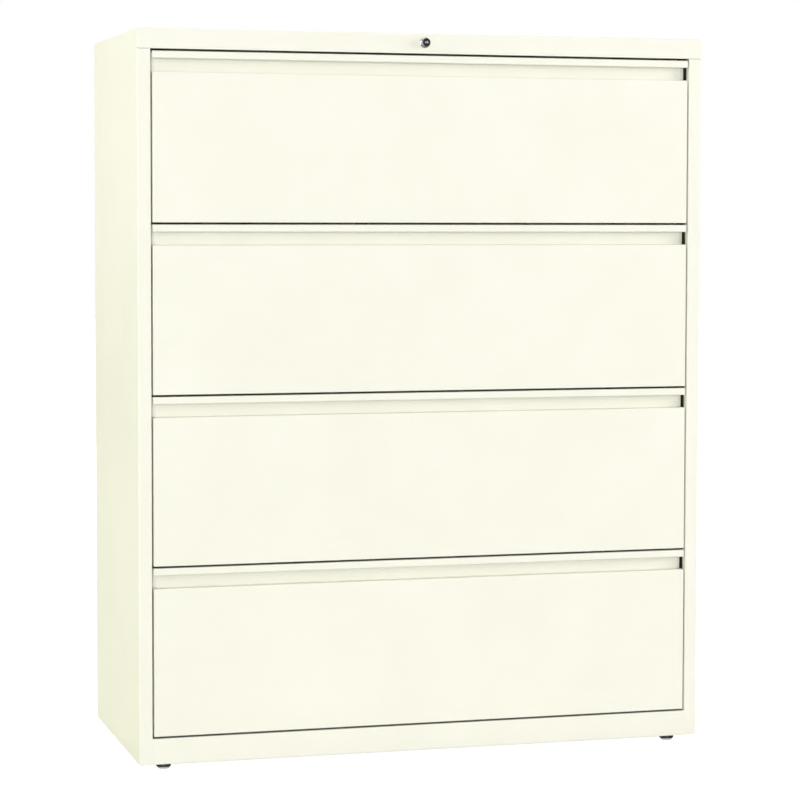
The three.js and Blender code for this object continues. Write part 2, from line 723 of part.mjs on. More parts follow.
function addDrawer(i) {
  const name = `drawer_${i + 1}`;
  const drawer = new THREE.Group();
  drawer.position.z = drawerBase(i);
  drawer.add(piece(`${name}_front`, drawerFront(), cream));
  drawer.add(piece(`${name}_tray`, drawerTray(), cream));
  for (const [hand, sign] of Object.entries(HANDS)) {
    const bar = piece(`${name}_hang_bar_${hand}`, hangBar(), zinc);
    bar.position.x = (sign * HANG_BAR_SPACING) / 2;
    drawer.add(bar);
    const slide = handed(hand);
    slide.position.z = SLIDE_LEVEL;
    for (const [member, body] of Object.entries(slideMembers())) {
      slide.add(piece(`${name}_slide_${member}_${hand}`, body, zinc));
    }
    drawer.add(slide);
  }
  cabinet.add(drawer);
}

addCase();
addFeet();
addLock();
for (let i = 0; i < DRAWER_COUNT; i += 1) addDrawer(i);

export default cabinet;
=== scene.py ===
import math

import bmesh
import bpy
from mathutils import Matrix, Vector


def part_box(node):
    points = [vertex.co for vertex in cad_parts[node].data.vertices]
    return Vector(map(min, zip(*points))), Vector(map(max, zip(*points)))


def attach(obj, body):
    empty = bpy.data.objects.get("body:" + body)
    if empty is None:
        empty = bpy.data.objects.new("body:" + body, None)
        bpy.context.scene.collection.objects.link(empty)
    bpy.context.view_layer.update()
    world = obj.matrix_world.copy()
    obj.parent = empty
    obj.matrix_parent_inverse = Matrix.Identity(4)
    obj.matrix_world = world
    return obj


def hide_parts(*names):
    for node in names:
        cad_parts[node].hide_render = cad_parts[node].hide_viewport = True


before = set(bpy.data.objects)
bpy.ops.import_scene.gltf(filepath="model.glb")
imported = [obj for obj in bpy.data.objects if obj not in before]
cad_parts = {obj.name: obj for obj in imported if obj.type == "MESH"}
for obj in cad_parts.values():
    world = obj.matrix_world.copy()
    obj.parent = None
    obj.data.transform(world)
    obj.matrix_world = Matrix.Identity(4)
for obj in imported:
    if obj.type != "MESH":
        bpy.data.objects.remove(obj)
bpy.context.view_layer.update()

# Side panels
# Each side is one sheet of 1 mm steel: a skin, a flange turned in behind, and a folded stile in front.
# It is folded on a press brake, spot-welded to the back and powder-coated cream.
MM = 0.001
SHEET = 1.0 * MM
FOLD = 1.6 * MM
SEAM = 0.3 * MM
FOLD_NOTCH = 2.0 * MM
CUT_EDGE = 0.25 * MM
LEAST_FOLD = math.radians(12)
SHARP_EDGE = math.radians(40)
STILE_WIDTH = 24 * MM
STILE_RETURN = 15 * MM
STILE_HEM = 18 * MM
REAR_FLANGE = 14 * MM
CREAM = "#F2F1E4"
CREAM_SHADE = "#EFEEE0"

side_low, side_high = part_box("right_side_panel")
half, rear, top = side_high
front, bottom = side_low.y, side_low.z
opening_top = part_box("top_panel")[0].z
stile_inner = half - STILE_WIDTH


def linear(hex_colour):
    """Turns an sRGB hex colour into a linear RGBA tuple."""
    channels = [int(hex_colour[i:i + 2], 16) / 255 for i in (1, 3, 5)]
    return (*[c / 12.92 if c <= 0.04045 else ((c + 0.055) / 1.055) ** 2.4 for c in channels], 1.0)


def add_node(tree, kind, inputs=None, **settings):
    """Adds a node, sets its properties, and sets or links its inputs."""
    new = tree.nodes.new(kind)
    for name, value in settings.items():
        setattr(new, name, value)
    for socket, value in (inputs or {}).items():
        if isinstance(value, bpy.types.NodeSocket):
            tree.links.new(value, new.inputs[socket])
        else:
            new.inputs[socket].default_value = value
    return new


def new_material(name):
    """An empty node material with its output, ready for a surface."""
    material = bpy.data.materials.new(name)
    material.use_nodes = True
    tree = material.node_tree
    tree.nodes.clear()
    output = add_node(tree, "ShaderNodeOutputMaterial")
    where = add_node(tree, "ShaderNodeTexCoord").outputs["Object"]
    return material, tree, output, where


def satin_skin(name, colour, shade, roughness, peel):
    """Baked powder coat and skins like it: even and satin, with a fine orange peel that softens reflections."""
    material, tree, output, where = new_material(name)
    cloud_size, peel_size, speck_size, peel_height = 160 * MM, 3.2 * MM, 11 * MM, 0.15 * MM
    gloss_change = 0.04
    cloud = add_node(tree, "ShaderNodeTexNoise",
                     {"Vector": where, "Scale": 1 / cloud_size, "Detail": 3.0, "Roughness": 0.55})
    tint = add_node(tree, "ShaderNodeValToRGB", {"Fac": cloud.outputs["Fac"]})
    tint.color_ramp.elements[0].position, tint.color_ramp.elements[0].color = 0.3, linear(shade)
    tint.color_ramp.elements[1].position, tint.color_ramp.elements[1].color = 0.7, linear(colour)
    # A real peel is about 1 mm across; it is drawn coarser so that it shows in a close view.
    grain = add_node(tree, "ShaderNodeTexNoise",
                     {"Vector": where, "Scale": 1 / peel_size, "Detail": 1.5, "Roughness": 0.45})
    bump = add_node(tree, "ShaderNodeBump",
                    {"Height": grain.outputs["Fac"], "Strength": peel, "Distance": peel_height})
    sheen = add_node(tree, "ShaderNodeTexNoise",
                     {"Vector": where, "Scale": 1 / speck_size, "Detail": 2.0})
    gloss = add_node(tree, "ShaderNodeMapRange",
                     {"Value": sheen.outputs["Fac"], "To Min": roughness - gloss_change,
                      "To Max": roughness + gloss_change})
    coat = add_node(tree, "ShaderNodeBsdfPrincipled",
                    {"Base Color": tint.outputs["Color"], "Roughness": gloss.outputs["Result"],
                     "Normal": bump.outputs["Normal"], "IOR": 1.5})
    tree.links.new(coat.outputs["BSDF"], output.inputs["Surface"])
    return material


# Cream powder coat is the same warm white all over, with broad, soft highlights and no flecks.
cream_powder_coat = satin_skin("cream_powder_coat", CREAM, CREAM_SHADE, 0.42, 0.25)


def new_piece(name, mesh, material, body, replaced=()):
    """Makes an object of a mesh, gives it its finish, and lets it ride on its body."""
    piece = bpy.data.objects.new(name, mesh)
    bpy.context.scene.collection.objects.link(piece)
    if material.name not in mesh.materials:
        mesh.materials.append(material)
    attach(piece, body)
    if replaced:
        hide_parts(*replaced)
    return piece


def smooth_edges(piece, width, segments=2):
    """Rounds a piece's remaining sharp edges a little, so that they catch the light."""
    bevel = piece.modifiers.new("edge", "BEVEL")
    bevel.width, bevel.segments = width, segments
    bevel.limit_method, bevel.angle_limit = "ANGLE", SHARP_EDGE
    for face in piece.data.polygons:
        face.use_smooth = True
    piece.modifiers.new("shading", "WEIGHTED_NORMAL").keep_sharp = True
    return piece


def folded_sheet(name, panels, outside, fold=FOLD, shade_panels=()):
    """Folds flat panels that share edges into one sheet. The panels lie on the sheet's outer side.

    The largest panel faces outside. Shared edges that bend get a round fold, but a bend of less than
    LEAST_FOLD stays as it is. The panels whose numbers are in shade_panels get the piece's second finish, which
    paints shade into narrow gaps.
    """
    shape = bmesh.new()
    corners = {}
    for number, panel in enumerate(panels):
        points = []
        for point in panel:
            key = tuple(round(c / MM, 3) for c in point)
            if key not in corners:
                corners[key] = shape.verts.new(point)
            points.append(corners[key])
        shape.faces.new(points).material_index = 1 if number in shade_panels else 0
    bmesh.ops.recalc_face_normals(shape, faces=shape.faces)
    largest = max(shape.faces, key=lambda face: face.calc_area())
    if largest.normal.dot(Vector(outside)) < 0:
        bmesh.ops.reverse_faces(shape, faces=shape.faces)
    folds = [e for e in shape.edges if len(e.link_faces) == 2 and e.calc_face_angle(0) > LEAST_FOLD]
    bmesh.ops.bevel(shape, geom=folds, offset=fold, segments=4, profile=0.5, affect="EDGES",
                    clamp_overlap=True, miter_outer="ARC")
    bmesh.ops.triangulate(shape, faces=[face for face in shape.faces if len(face.verts) > 4])
    mesh = bpy.data.meshes.new(name)
    shape.to_mesh(mesh)
    shape.free()
    return mesh


def thicken(piece, sheet=SHEET):
    """Gives a folded sheet its thickness, inwards."""
    shell = piece.modifiers.new("sheet", "SOLIDIFY")
    shell.thickness, shell.offset, shell.use_even_offset = sheet, -1, True
    return piece


for hand, sign in (("left", -1), ("right", 1)):
    outer, inner = sign * half, sign * stile_inner
    hem = sign * (stile_inner + STILE_HEM)
    flange = sign * (half - REAR_FLANGE)
    back_of_stile = front + STILE_RETURN
    stile_top = opening_top - SEAM
    skin = [(outer, rear, bottom), (outer, front, bottom), (outer, front, stile_top),
            (outer, front + FOLD_NOTCH, stile_top), (outer, front + FOLD_NOTCH, top), (outer, rear, top)]
    strips = [(outer, front), (inner, front), (inner, back_of_stile), (hem, back_of_stile)]
    rear_fold = [(outer, rear, bottom), (outer, rear, top), (flange, rear, top), (flange, rear, bottom)]
    panels = [skin, rear_fold]
    for (x0, y0), (x1, y1) in zip(strips, strips[1:]):
        panels.append([(x0, y0, bottom), (x1, y1, bottom), (x1, y1, stile_top), (x0, y0, stile_top)])
    mesh = folded_sheet(f"{hand}_side_skin", panels, (sign, 0, 0))
    side = new_piece(f"{hand}_side_skin", mesh, cream_powder_coat, "case",
                     [f"{hand}_side_panel"])
    smooth_edges(thicken(side), CUT_EDGE)

# Top panel
# One sheet of the same coated steel makes the flat top, the header that folds down over the drawers, and
# flanges at the sides and rear. The header has a hole for the lock, the rear flange a notch for the lock bar.
TOP_FLANGE = 15 * MM
TOP_FLANGE_INSET = 12 * MM
HEADER_RETURN = 16 * MM
NOTCH_PLAY = 1.5 * MM
LOCK_HOLE, DRILL_REACH = 8.3 * MM, 5 * MM

lock_low, lock_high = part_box("lock_housing")
lock_x, lock_z = (lock_low.x + lock_high.x) / 2, (lock_low.z + lock_high.z) / 2
top_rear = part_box("top_panel")[1].y
bar_low, bar_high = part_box("lock_bar")
top_edge = half - SHEET - SEAM
flange_front = front + HEADER_RETURN + TOP_FLANGE_INSET
flange_rear = top_rear - TOP_FLANGE_INSET
notch_left, notch_right = bar_low.x - NOTCH_PLAY, bar_high.x + NOTCH_PLAY
flat_top = [(-top_edge, front, top), (top_edge, front, top), (top_edge, flange_front, top),
            (top_edge, flange_rear, top), (top_edge, top_rear, top), (-top_edge, top_rear, top),
            (-top_edge, flange_rear, top), (-top_edge, flange_front, top)]
low, high = opening_top + FOLD_NOTCH, top - FOLD_NOTCH
header = [(x, front, z) for x, z in (
    (-top_edge, opening_top), (-stile_inner, opening_top), (stile_inner, opening_top),
    (top_edge, opening_top), (top_edge, low), (half, low), (half, high), (top_edge, high),
    (top_edge, top), (-top_edge, top), (-top_edge, high), (-half, high), (-half, low),
    (-top_edge, low))]
return_ends = [-top_edge, -stile_inner, stile_inner, top_edge]
return_rear = front + HEADER_RETURN
header_returns = [[(x0, front, opening_top), (x1, front, opening_top),
                   (x1, return_rear, opening_top), (x0, return_rear, opening_top)]
                  for x0, x1 in zip(return_ends, return_ends[1:])]
flange_low = top - TOP_FLANGE
rear_flange = [(x, top_rear, z) for x, z in (
    (-top_edge, top), (top_edge, top), (top_edge, flange_low), (notch_right, flange_low),
    (notch_right, high), (notch_left, high), (notch_left, flange_low), (-top_edge, flange_low))]
side_flanges = [[(x, flange_front, top), (x, flange_rear, top),
                 (x, flange_rear, flange_low), (x, flange_front, flange_low)]
                for x in (-top_edge, top_edge)]
panels = [flat_top, header, *header_returns, rear_flange, *side_flanges]
gap_return = panels.index(header_returns[1])

# The returns over and under the drawers are coloured near black: painted shade, so that the narrow gaps between
# the drawers look dark.
painted_gap_shade = satin_skin("painted_gap_shade", "#2E2D2A", "#252422", 0.65, 0.4)


def turned(name, profile, axis_point, axis, segments=64):
    """Turns a closed profile of (radius, distance) pairs about an axis. Radii of 0 lie on the axis."""
    shape = bmesh.new()
    frame_of_axis = Vector(axis).to_track_quat("Z", "X").to_matrix()
    rings = []
    for radius, along in profile:
        count = segments if radius > 0 else 1
        ring = []
        for k in range(count):
            angle = 2 * math.pi * k / segments
            local = Vector((radius * math.cos(angle), radius * math.sin(angle), along))
            ring.append(shape.verts.new(Vector(axis_point) + frame_of_axis @ local))
        rings.append(ring)
    closed = profile[0][0] > 0
    pairs = list(zip(rings, rings[1:])) + ([(rings[-1], rings[0])] if closed else [])
    for before, after in pairs:
        for k in range(segments):
            following = (k + 1) % segments
            corners = [before[k % len(before)], before[following % len(before)],
                       after[following % len(after)], after[k % len(after)]]
            face = list(dict.fromkeys(corners))
            if len(face) > 2:
                shape.faces.new(face)
    bmesh.ops.recalc_face_normals(shape, faces=shape.faces)
    mesh = bpy.data.meshes.new(name)
    shape.to_mesh(mesh)
    shape.free()
    return mesh


def cut_away(piece, cutter_mesh):
    """Cuts a cutter's shape out of a piece and keeps the result as the piece's own mesh."""
    cutter = bpy.data.objects.new("cutter", cutter_mesh)
    bpy.context.scene.collection.objects.link(cutter)
    boolean = piece.modifiers.new("cut", "BOOLEAN")
    boolean.operation, boolean.solver, boolean.object = "DIFFERENCE", "EXACT", cutter
    bpy.context.view_layer.update()
    result = bpy.data.meshes.new_from_object(piece.evaluated_get(bpy.context.evaluated_depsgraph_get()))
    piece.modifiers.clear()
    piece.data = result
    bpy.data.objects.remove(cutter)
    return piece


# The header's return over the drawers takes the painted gap shade as its second finish.
mesh = folded_sheet("top_sheet", panels, (0, 0, 1), shade_panels=[gap_return])
top_sheet = new_piece("top_sheet", mesh, cream_powder_coat, "case", ["top_panel"])
mesh.materials.append(painted_gap_shade)
thicken(top_sheet)
drill = [(0, -DRILL_REACH), (LOCK_HOLE, -DRILL_REACH), (LOCK_HOLE, DRILL_REACH), (0, DRILL_REACH)]
cut_away(top_sheet, turned("lock_hole", drill, (lock_x, front, lock_z), (0, 1, 0)))
smooth_edges(top_sheet, CUT_EDGE)

# Back panel
# A flat coated steel sheet with two pressed stiffening ribs, spot-welded inside the sides' rear flanges.
# Three small loops on its inner face guide the lock bar.
RIB_WIDTH, RIB_DEPTH, RIB_DRAFT = 40 * MM, 4 * MM, 4 * MM
RIB_SPACING, RIB_END = 532 * MM, 60 * MM
WELDS_UP, WELDS_ACROSS, WELD_INSET = 10, 6, 45 * MM
WELD_EDGE = 0.02 * MM
GUIDE_WALL, GUIDE_HEIGHT, GUIDE_RISE, GUIDE_EAR, GUIDE_FOLD = 2 * MM, 15 * MM, 70 * MM, 12 * MM, 1.2 * MM
CATCH_LEVEL, BAR_SHEET = 200 * MM, 2.5 * MM

back_low, back_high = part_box("back_panel")
back_outer, back_edge = back_high.y, back_high.x
back_inner = back_outer - SHEET
pan_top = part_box("bottom_pan")[1].z
rib_low, rib_high = pan_top + RIB_END, flange_low - RIB_END
columns = [-back_edge, -(RIB_SPACING + RIB_WIDTH) / 2, -(RIB_SPACING - RIB_WIDTH) / 2,
           (RIB_SPACING - RIB_WIDTH) / 2, (RIB_SPACING + RIB_WIDTH) / 2, back_edge]
rows = [back_low.z, rib_low, rib_high, back_high.z]
panels = []
for i, (x0, x1) in enumerate(zip(columns, columns[1:])):
    for k, (z0, z1) in enumerate(zip(rows, rows[1:])):
        rim = [(x0, back_outer, z0), (x1, back_outer, z0), (x1, back_outer, z1), (x0, back_outer, z1)]
        if k != 1 or i not in (1, 3):
            panels.append(rim)
            continue
        deep = back_outer - RIB_DEPTH
        pressed = [(x0 + RIB_DRAFT, deep, z0 + RIB_DRAFT), (x1 - RIB_DRAFT, deep, z0 + RIB_DRAFT),
                   (x1 - RIB_DRAFT, deep, z1 - RIB_DRAFT), (x0 + RIB_DRAFT, deep, z1 - RIB_DRAFT)]
        panels.append(pressed)
        for a in range(4):
            b = (a + 1) % 4
            panels.append([rim[a], rim[b], pressed[b], pressed[a]])
mesh = folded_sheet("back_sheet", panels, (0, 1, 0))
back_sheet = new_piece("back_sheet", mesh, cream_powder_coat, "case", ["back_panel"])
smooth_edges(thicken(back_sheet), CUT_EDGE)


def gathered(name, meshes):
    """Joins several small meshes into one."""
    shape = bmesh.new()
    for mesh in meshes:
        shape.from_mesh(mesh)
        bpy.data.meshes.remove(mesh)
    joined = bpy.data.meshes.new(name)
    shape.to_mesh(joined)
    shape.free()
    return joined


def in_metres(profile):
    """Turns a profile that is given in millimetres into metres."""
    return [(radius * MM, along * MM) for radius, along in profile]


def weld_mark(place):
    """The shallow ring that a spot-welding tip leaves under the paint."""
    ring = [(0, 0.03), (2.0, 0.03), (2.6, 0.2), (3.1, 0.16), (3.5, -0.05), (0, -0.05)]
    return turned("weld_mark", in_metres(ring), place, (0, 1, 0), 20)


marks = []
for x in (-(half - REAR_FLANGE / 2), half - REAR_FLANGE / 2):
    for step in range(WELDS_UP):
        level = bottom + WELD_INSET + step * (top - bottom - 2 * WELD_INSET) / (WELDS_UP - 1)
        marks.append(weld_mark((x, rear, level)))
for step in range(WELDS_ACROSS):
    x = (step / (WELDS_ACROSS - 1) - 0.5) * 2 * (half - 2 * WELD_INSET)
    marks.append(weld_mark((x, back_outer, rib_low - WELD_INSET)))
mesh = gathered("back_weld_marks", marks)
welds = new_piece("back_weld_marks", mesh, cream_powder_coat, "case")
smooth_edges(welds, WELD_EDGE, 1)

drawer_bases = [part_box(f"drawer_{n}_front")[0].z for n in (1, 2, 3, 4)]
guide_levels = [drawer_bases[0] + CATCH_LEVEL + GUIDE_RISE, drawer_bases[2] + CATCH_LEVEL + GUIDE_RISE,
                bar_low.z + GUIDE_HEIGHT]
bar_front = bar_high.y - BAR_SHEET
loop_x = (bar_low.x + bar_high.x) / 2
loop_half = (bar_high.x - bar_low.x) / 2 + SEAM + GUIDE_WALL
ear, bridge = back_inner - GUIDE_WALL, bar_front - SEAM - GUIDE_WALL
for number, level in enumerate(guide_levels, 1):
    outline = [(-loop_half - GUIDE_EAR, ear), (-loop_half, ear), (-loop_half, bridge),
               (loop_half, bridge), (loop_half, ear), (loop_half + GUIDE_EAR, ear)]
    z0, z1 = level - GUIDE_HEIGHT / 2, level + GUIDE_HEIGHT / 2
    panels = [[(loop_x + x0, y0, z0), (loop_x + x1, y1, z0),
               (loop_x + x1, y1, z1), (loop_x + x0, y0, z1)]
              for (x0, y0), (x1, y1) in zip(outline, outline[1:])]
    mesh = folded_sheet(f"bar_guide_{number}", panels, (0, -1, 0), fold=GUIDE_FOLD)
    guide = new_piece(f"bar_guide_{number}", mesh, cream_powder_coat, "case")
    smooth_edges(thicken(guide, GUIDE_WALL - SEAM), CUT_EDGE)

# Base rail
# A folded strip of the same coated steel between the stiles, under the lowest drawer.
# Its ends are tucked in and spot-welded to the stiles' inner faces.
BASE_TOP_RETURN, BASE_BOTTOM_RETURN, RAIL_TUCK = 20 * MM, 10 * MM, 0.9 * MM

rail_low, rail_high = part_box("base_rail")
strips = [(front + BASE_TOP_RETURN, rail_high.z), (front, rail_high.z), (front, rail_low.z),
          (front + BASE_BOTTOM_RETURN, rail_low.z)]
rail_end = rail_high.x + RAIL_TUCK
panels = [[(-rail_end, y0, z0), (rail_end, y0, z0), (rail_end, y1, z1), (-rail_end, y1, z1)]
          for (y0, z0), (y1, z1) in zip(strips, strips[1:])]
mesh = folded_sheet("base_rail_sheet", panels, (0, -1, 0))
base_rail = new_piece("base_rail_sheet", mesh, cream_powder_coat, "case", ["base_rail"])
smooth_edges(thicken(base_rail), CUT_EDGE)

# Bottom pan and uprights
# The pan is a flanged sheet with a welded nut over each foot, coated thinly like the rest of the inside.
# The uprights are phosphated steel channels, fixed inside the coated sides, that carry the slides; their
# near-black colour is partly painted shade.
INNER_EDGE = 0.3 * MM

# The thin coat of the inside is a little flatter and yellower than the outside.
inner_powder_coat = satin_skin("inner_powder_coat", "#E9E8D6", "#E3E2CF", 0.55, 0.4)
# Phosphated steel is dark and matt; here it is made near black as painted shade, so that what stands behind the
# open ends of the pulls looks dark.
phosphate_and_painted_shade = satin_skin("phosphate_and_painted_shade", "#151514", "#111110", 0.7, 0.4)


def dress(node, material, edge=INNER_EDGE):
    """Gives a carried-over piece its finish and eased edges."""
    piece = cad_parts[node]
    piece.data.materials.clear()
    piece.data.materials.append(material)
    smooth_edges(piece, edge)


dress("bottom_pan", inner_powder_coat)
# The uprights take the near-black painted shade.
for hand in ("left", "right"):
    for end in ("front", "rear"):
        dress(f"{hand}_{end}_upright", phosphate_and_painted_shade)

# Levelling feet
# A turned steel glide on an M10 stud, screwed up into the pan's nuts. It is plated dark, a darkness that is
# partly painted shade, and stands on a thin white pad which keeps the steel off the floor; the pad's white is
# partly nylon and partly a painted reflection of the white floor.
STUD_RADIUS, THREAD_START, THREAD_STOP = 5 * MM, 11 * MM, 3 * MM
THREAD_PITCH, THREAD_DEPTH, WHITE_PAD_HEIGHT = 1.5 * MM, 0.9 * MM, 3.6 * MM
FOOT_EDGE = 0.15 * MM


def plated_steel(name, colour, shade, roughness, grain_size):
    """Plated steel: metallic, with a soft mottle in colour and gloss from the plating bath."""
    material, tree, output, where = new_material(name)
    gloss_change, grain_height = 0.06, 0.1 * MM
    mottle = add_node(tree, "ShaderNodeTexNoise",
                      {"Vector": where, "Scale": 1 / grain_size, "Detail": 4.0, "Roughness": 0.6})
    tint = add_node(tree, "ShaderNodeValToRGB", {"Fac": mottle.outputs["Fac"]})
    tint.color_ramp.elements[0].position, tint.color_ramp.elements[0].color = 0.3, linear(shade)
    tint.color_ramp.elements[1].position, tint.color_ramp.elements[1].color = 0.7, linear(colour)
    gloss = add_node(tree, "ShaderNodeMapRange",
                     {"Value": mottle.outputs["Fac"], "To Min": roughness - gloss_change,
                      "To Max": roughness + gloss_change})
    bump = add_node(tree, "ShaderNodeBump",
                    {"Height": mottle.outputs["Fac"], "Strength": 0.08, "Distance": grain_height})
    metal = add_node(tree, "ShaderNodeBsdfPrincipled",
                     {"Base Color": tint.outputs["Color"], "Metallic": 1.0,
                      "Roughness": gloss.outputs["Result"], "Normal": bump.outputs["Normal"]})
    tree.links.new(metal.outputs["BSDF"], output.inputs["Surface"])
    return material


# Dark plating keeps a dull gleam; its darkness is partly painted shade. The pad is an even satin white that
# almost melts into a white floor, partly nylon and partly a painted reflection of that floor.
dark_plate_and_painted_shade = plated_steel("dark_plate_and_painted_shade", "#53565A", "#404347", 0.45, 4 * MM)
white_pad_and_painted_reflection = satin_skin("white_pad_and_painted_reflection", "#F6F6F1", "#EEEEE8", 0.5, 0.15)
for corner in ("front_left", "front_right", "rear_left", "rear_right"):
    foot_low, foot_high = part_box(f"{corner}_foot")
    foot_x, foot_y = (foot_low.x + foot_high.x) / 2, (foot_low.y + foot_high.y) / 2
    pad = [(0, 0), (9.2 * MM, 0), (10 * MM, 0.6 * MM), (12.4 * MM, WHITE_PAD_HEIGHT)]
    disc = in_metres([(13.1, 4.4), (13.5, 5.2), (13.5, 7.4), (13.0, 8.2), (12.2, 8.5), (6.4, 8.5)])
    profile = pad + disc + [(STUD_RADIUS, 9.2 * MM)]
    along = THREAD_START
    while along < foot_high.z - THREAD_STOP:
        profile += [(STUD_RADIUS, along), (STUD_RADIUS - THREAD_DEPTH, along + THREAD_PITCH / 2)]
        along += THREAD_PITCH
    profile += [(STUD_RADIUS - THREAD_DEPTH, foot_high.z), (0, foot_high.z)]
    mesh = turned(f"{corner}_glide", profile, (foot_x, foot_y, 0), (0, 0, 1), 40)
    glide = new_piece(f"{corner}_glide", mesh, dark_plate_and_painted_shade, f"{corner}_foot",
                      [f"{corner}_foot"])
    # The lowest rim takes the white pad, partly a painted reflection of the floor; the rest keeps the dark
    # plating, partly painted shade.
    mesh.materials.append(white_pad_and_painted_reflection)
    for face in mesh.polygons:
        face.material_index = 1 if face.center.z < WHITE_PAD_HEIGHT else 0
    smooth_edges(glide, FOOT_EDGE, 1)

# Lock
# A nickel-plated collar and barrel stand in front of the header, with a black ring round a turned plug; the
# ring's black is partly moulded colour and partly a painted dark reflection.
# Behind the header a nut clamps the body, and a rod turns a crank that lifts the lock bar. These are zinc-plated.
BARREL_RADIUS, COLLAR_RADIUS, COLLAR_LENGTH = 7.4 * MM, 9.9 * MM, 3 * MM
BODY_RADIUS, PLUG_RADIUS = 8 * MM, 5 * MM
KEY_DISC, KEY_DISC_RIM = 2.8 * MM, 0.2 * MM
KEYWAY_WIDTH, KEYWAY_HEIGHT, KEYWAY_DEPTH = 1.8 * MM, 5.6 * MM, 6 * MM
TAIL_RADIUS, DARK_FACE_DEPTH, KEYWAY_RUNOUT = 3 * MM, 1 * MM, 1 * MM
BARREL_EDGE, PLUG_EDGE, LOCK_WORKS_EDGE = 0.1 * MM, 0.12 * MM, 0.15 * MM

# Bright nickel mirrors the room and satin nickel only glows. Zinc has a blue-grey bloom with soft highlights.
bright_nickel = plated_steel("bright_nickel_plate", "#C9CACB", "#BDBEC0", 0.16, 9 * MM)
satin_nickel = plated_steel("satin_nickel_plate", "#9A9B9C", "#88898B", 0.34, 3 * MM)
zinc_plate = plated_steel("bright_zinc_plate", "#B4B8BC", "#9DA2A7", 0.36, 14 * MM)
# The ring and the plug's rim are black, smooth enough to keep a small highlight. The black is partly moulded
# colour and partly painted reflection, standing in for the dark room that a plated face would mirror.
black_face_and_painted_reflection = satin_skin("black_face_and_painted_reflection", "#161616", "#0E0E0F", 0.38, 0.1)


def second_finish(mesh, material, wanted):
    """Gives the second finish to the faces whose distance along and from the lock's axis are wanted."""
    mesh.materials.append(material)
    for face in mesh.polygons:
        along = face.center.y - front
        away = math.hypot(face.center.x - lock_x, face.center.z - lock_z)
        if wanted(along, away):
            face.material_index = 1


proud, housing_end = front - lock_low.y, lock_high.y - front
bore = PLUG_RADIUS + SEAM
profile = [(bore, -proud + 0.8 * MM), (bore + 0.5 * MM, -proud + 0.2 * MM), (bore + 0.9 * MM, -proud),
           (BARREL_RADIUS - 0.8 * MM, -proud), (BARREL_RADIUS - 0.25 * MM, -proud + 0.25 * MM),
           (BARREL_RADIUS, -proud + 0.9 * MM), (BARREL_RADIUS, -COLLAR_LENGTH - 0.8 * MM),
           (BARREL_RADIUS + 0.5 * MM, -COLLAR_LENGTH), (COLLAR_RADIUS - 1 * MM, -COLLAR_LENGTH),
           (COLLAR_RADIUS - 0.3 * MM, -COLLAR_LENGTH + 0.3 * MM), (COLLAR_RADIUS, -COLLAR_LENGTH + 1 * MM),
           (COLLAR_RADIUS, -SEAM), (BODY_RADIUS, -SEAM), (BODY_RADIUS, housing_end), (bore, housing_end)]
mesh = turned("lock_barrel", profile, (lock_x, front, lock_z), (0, 1, 0))
barrel = new_piece("lock_barrel", mesh, bright_nickel, "case", ["lock_housing"])
# The barrel's front face takes the black, partly a painted dark reflection.
second_finish(mesh, black_face_and_painted_reflection, lambda along, away: along < -proud + DARK_FACE_DEPTH)
smooth_edges(barrel, BARREL_EDGE, 1)

plug_low, plug_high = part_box("lock_plug")
plug_face, plug_end, tail_end = plug_low.y - front, housing_end, plug_high.y - front
profile = [(0, plug_face), (KEY_DISC, plug_face), (KEY_DISC + 0.3 * MM, plug_face + 0.5 * MM),
           (KEY_DISC + 0.8 * MM, plug_face + 0.5 * MM), (KEY_DISC + 1.1 * MM, plug_face + 0.1 * MM),
           (PLUG_RADIUS - 0.4 * MM, plug_face + 0.1 * MM), (PLUG_RADIUS, plug_face + 0.5 * MM),
           (PLUG_RADIUS, plug_end), (TAIL_RADIUS, plug_end), (TAIL_RADIUS, tail_end), (0, tail_end)]
mesh = turned("lock_core", profile, (lock_x, front, lock_z), (0, 1, 0))
core = new_piece("lock_core", mesh, satin_nickel, "lock_cylinder", ["lock_plug"])


def box_mesh(name, low_corner, high_corner):
    """A plain block, used only to cut other pieces."""
    shape = bmesh.new()
    bmesh.ops.create_cube(shape, size=1)
    size = Vector(high_corner) - Vector(low_corner)
    shape.transform(Matrix.Translation((Vector(low_corner) + Vector(high_corner)) / 2)
                    @ Matrix.Diagonal((*size, 1)))
    mesh = bpy.data.meshes.new(name)
    shape.to_mesh(mesh)
    shape.free()
    return mesh


keyway = box_mesh("keyway",
                  (lock_x - KEYWAY_WIDTH / 2, plug_low.y - KEYWAY_RUNOUT, lock_z - KEYWAY_HEIGHT / 2),
                  (lock_x + KEYWAY_WIDTH / 2, plug_low.y + KEYWAY_DEPTH, lock_z + KEYWAY_HEIGHT / 2))
cut_away(core, keyway)
# The plug's rim and sides take the black, partly a painted dark reflection.
second_finish(core.data, black_face_and_painted_reflection,
              lambda along, away: along < plug_end and (away > KEY_DISC or along > plug_face + KEY_DISC_RIM))
smooth_edges(core, PLUG_EDGE, 1)
for node in ("lock_nut", "lock_rod", "lock_rod_bracket", "lock_bar"):
    dress(node, zinc_plate, LOCK_WORKS_EDGE)

# Drawer slides
# Each drawer hangs on a left and a right slide of three rolled steel channels, all bright zinc-plated. The
# outer one is fixed to the uprights, the middle one floats, and the inner one is riveted to the tray.
SLIDE_SHEET, SLIDE_EDGE, HEAD_EDGE = 1.2 * MM, 0.2 * MM, 0.05 * MM
RIVET_SHARES = (0.08, 0.2, 0.5, 0.92)
RIVET_HEAD = in_metres([(0, 1.3), (1.1, 1.35), (1.4, 1.7), (2.2, 1.5), (2.9, 0.9), (3.2, 0), (3.2, -0.05),
                        (0, -0.05)])

